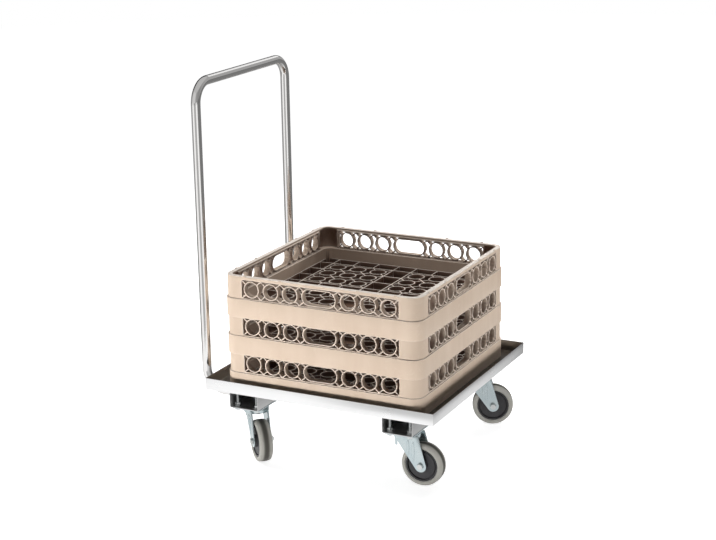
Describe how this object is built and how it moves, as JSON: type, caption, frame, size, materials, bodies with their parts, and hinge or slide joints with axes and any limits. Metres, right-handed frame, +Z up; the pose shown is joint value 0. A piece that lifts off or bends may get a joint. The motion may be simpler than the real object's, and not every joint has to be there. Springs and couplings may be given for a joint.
{
  "type": "dishwasher rack trolley",
  "caption": "Low rolling trolley with a shallow stainless tray on swivel casters, a bent tube push handle at one end and a stack of nesting plastic dishwasher racks.",
  "frame": {"origin": "on the floor, under the middle of the whole trolley's box", "axes": "+Z up, +X from the push handle towards the free end of the tray, +Y across to the left as seen from the handle"},
  "size_m": [0.627, 0.546, 0.892],
  "materials": {
    "tray_steel": "satin stainless sheet",
    "channel_steel": "mill finish stainless sheet",
    "tube_steel": "polished stainless tube",
    "zinc_steel": "bright zinc plated pressed steel",
    "bolt_steel": "zinc plated fasteners",
    "rack_plastic": "moulded beige polypropylene",
    "core_plastic": "moulded anthracite plastic",
    "tyre_rubber": "grey solid rubber"
  },
  "bodies": {
    "trolley": {"tray": "tray_steel", "channel_front": "channel_steel", "channel_rear": "channel_steel", "handle": "tube_steel", "caster_bolts": "bolt_steel", "caster_washers": "bolt_steel", "caster_nuts": "bolt_steel", "caster_front_right_plate": "zinc_steel", "caster_front_right_race": "zinc_steel", "caster_front_right_kingpin": "zinc_steel", "caster_front_left_plate": "zinc_steel", "caster_front_left_race": "zinc_steel", "caster_front_left_kingpin": "zinc_steel", "caster_rear_right_plate": "zinc_steel", "caster_rear_right_race": "zinc_steel", "caster_rear_right_kingpin": "zinc_steel", "caster_rear_left_plate": "zinc_steel", "caster_rear_left_race": "zinc_steel", "caster_rear_left_kingpin": "zinc_steel"},
    "caster_front_right": {"caster_front_right_fork": "zinc_steel", "caster_front_right_axle_bolt": "bolt_steel", "caster_front_right_axle_nut": "bolt_steel", "caster_front_right_axle_sleeve": "bolt_steel"},
    "wheel_front_right": {"caster_front_right_wheel_core": "core_plastic", "caster_front_right_wheel_tyre": "tyre_rubber"},
    "caster_front_left": {"caster_front_left_fork": "zinc_steel", "caster_front_left_axle_bolt": "bolt_steel", "caster_front_left_axle_nut": "bolt_steel", "caster_front_left_axle_sleeve": "bolt_steel"},
    "wheel_front_left": {"caster_front_left_wheel_core": "core_plastic", "caster_front_left_wheel_tyre": "tyre_rubber"},
    "caster_rear_right": {"caster_rear_right_fork": "zinc_steel", "caster_rear_right_axle_bolt": "bolt_steel", "caster_rear_right_axle_nut": "bolt_steel", "caster_rear_right_axle_sleeve": "bolt_steel"},
    "wheel_rear_right": {"caster_rear_right_wheel_core": "core_plastic", "caster_rear_right_wheel_tyre": "tyre_rubber"},
    "caster_rear_left": {"caster_rear_left_fork": "zinc_steel", "caster_rear_left_axle_bolt": "bolt_steel", "caster_rear_left_axle_nut": "bolt_steel", "caster_rear_left_axle_sleeve": "bolt_steel"},
    "wheel_rear_left": {"caster_rear_left_wheel_core": "core_plastic", "caster_rear_left_wheel_tyre": "tyre_rubber"},
    "rack_bottom": {"rack_bottom": "rack_plastic"},
    "rack_middle": {"rack_middle": "rack_plastic"},
    "rack_top": {"rack_top": "rack_plastic"}
  },
  "joints": [
    {"name": "swivel_front_right", "type": "hinge", "parent": "trolley", "child": "caster_front_right", "pos_m": [0.2195, -0.202, 0.121], "axis": [0, 0, 1], "continuous": true},
    {"name": "roll_front_right", "type": "hinge", "parent": "caster_front_right", "child": "wheel_front_right", "pos_m": [0.25798, -0.20066, 0.05], "axis": [-0.0349, 0.9994, 0], "continuous": true},
    {"name": "swivel_front_left", "type": "hinge", "parent": "trolley", "child": "caster_front_left", "pos_m": [0.2195, 0.202, 0.121], "axis": [0, 0, 1], "continuous": true},
    {"name": "roll_front_left", "type": "hinge", "parent": "caster_front_left", "child": "wheel_front_left", "pos_m": [0.25439, 0.21827, 0.05], "axis": [-0.4226, 0.9063, 0], "continuous": true},
    {"name": "swivel_rear_right", "type": "hinge", "parent": "trolley", "child": "caster_rear_right", "pos_m": [-0.1745, -0.202, 0.121], "axis": [0, 0, 1], "continuous": true},
    {"name": "roll_rear_right", "type": "hinge", "parent": "caster_rear_right", "child": "wheel_rear_right", "pos_m": [-0.14728, -0.22922, 0.05], "axis": [0.7071, 0.7071, 0], "continuous": true},
    {"name": "swivel_rear_left", "type": "hinge", "parent": "trolley", "child": "caster_rear_left", "pos_m": [-0.1745, 0.202, 0.121], "axis": [0, 0, 1], "continuous": true},
    {"name": "roll_rear_left", "type": "hinge", "parent": "caster_rear_left", "child": "wheel_rear_left", "pos_m": [-0.14728, 0.22922, 0.05], "axis": [-0.7071, 0.7071, 0], "continuous": true},
    {"name": "lift_rack_bottom", "type": "slide", "parent": "trolley", "child": "rack_bottom", "axis": [0, 0, 1], "range_m": [0, 0.3]},
    {"name": "lift_rack_middle", "type": "slide", "parent": "rack_bottom", "child": "rack_middle", "axis": [0, 0, 1], "range_m": [0, 0.3]},
    {"name": "lift_rack_top", "type": "slide", "parent": "rack_middle", "child": "rack_top", "axis": [0, 0, 1], "range_m": [0, 0.3]}
  ]
}
